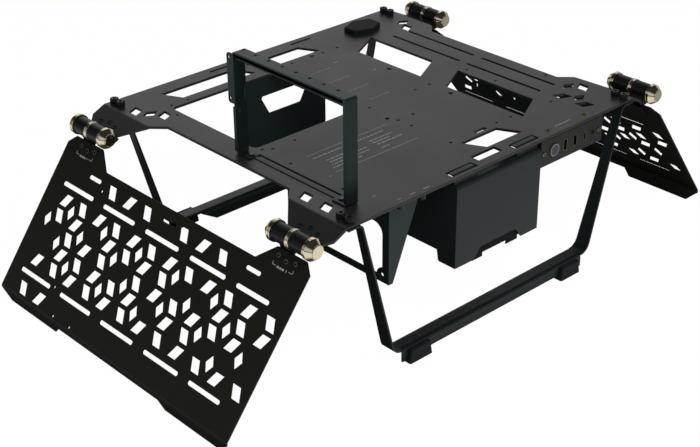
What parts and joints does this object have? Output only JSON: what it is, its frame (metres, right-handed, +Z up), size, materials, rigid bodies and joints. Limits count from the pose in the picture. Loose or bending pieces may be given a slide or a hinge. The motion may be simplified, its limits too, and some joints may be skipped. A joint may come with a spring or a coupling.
{
  "type": "open air test bench",
  "caption": "Open air computer test bench: folded base plate on strap legs with hinged perforated side wings, card frame, power supply cover and front port panel.",
  "frame": {"origin": "centre of the footprint at floor level", "axes": "+X towards the right wing, +Z up, -Y towards the port panel"},
  "size_m": [0.7498, 0.4132, 0.3032],
  "materials": {
    "plate": "satin dark grey powder coat",
    "wing": "satin black powder coat",
    "leg": "satin black powder coat",
    "frame": "satin black powder coat",
    "cover": "satin black powder coat",
    "rubber": "matt",
    "hinge_black": "gloss black",
    "hinge_chrome": "warm polished",
    "steel": "bright",
    "screw_black": "black oxide",
    "brass": "plain",
    "board": "matt",
    "button": "satin",
    "jack": "matt",
    "puck": "satin"
  },
  "bodies": {
    "frame": {"base_plate": "plate", "front_leg": "leg", "back_leg": "leg", "card_frame": "frame", "side_bracket": "frame", "hanging_panel": "frame", "drive_rail": "frame", "power_supply_cover": "cover", "power_supply_cradle": "cover", "port_panel": "frame", "foot_left_front": "rubber", "hinge_left_front_plate_leaf": "hinge_black", "hinge_left_front_pin": "steel", "hinge_left_front_ring": "hinge_black", "hinge_left_front_caps": "hinge_chrome", "foot_left_back": "rubber", "hinge_left_back_plate_leaf": "hinge_black", "hinge_left_back_pin": "steel", "hinge_left_back_ring": "hinge_black", "hinge_left_back_caps": "hinge_chrome", "foot_right_front": "rubber", "hinge_right_front_plate_leaf": "hinge_black", "hinge_right_front_pin": "steel", "hinge_right_front_ring": "hinge_black", "hinge_right_front_caps": "hinge_chrome", "foot_right_back": "rubber", "hinge_right_back_plate_leaf": "hinge_black", "hinge_right_back_pin": "steel", "hinge_right_back_ring": "hinge_black", "hinge_right_back_caps": "hinge_chrome", "leg_screws": "screw_black", "ear_screws": "screw_black", "card_frame_screws": "screw_black", "side_bracket_screws": "screw_black", "hanging_panel_screws": "screw_black", "port_screws": "screw_black", "rivets": "brass", "port_board": "board", "usb_a_ports": "steel", "usb_c_port": "steel", "audio_jack": "jack", "puck": "puck"},
    "left_wing": {"left_wing": "wing", "left_wing_screws": "screw_black", "hinge_left_front_wing_leaf": "hinge_black", "hinge_left_back_wing_leaf": "hinge_black"},
    "right_wing": {"right_wing": "wing", "right_wing_screws": "screw_black", "hinge_right_front_wing_leaf": "hinge_black", "hinge_right_back_wing_leaf": "hinge_black"},
    "power_button": {"power_button": "button"}
  },
  "joints": [
    {"name": "left_wing_hinge", "type": "hinge", "parent": "frame", "child": "left_wing", "pos_m": [-0.2603, 0, 0.1814], "axis": [0, 1, 0], "range_deg": [0, 130]},
    {"name": "right_wing_hinge", "type": "hinge", "parent": "frame", "child": "right_wing", "pos_m": [0.2603, 0, 0.1814], "axis": [0, -1, 0], "range_deg": [0, 130]},
    {"name": "power_button_press", "type": "slide", "parent": "frame", "child": "power_button", "axis": [0, 1, 0], "range_m": [0, 0.001], "stiffness_N_per_m": 1500}
  ]
}
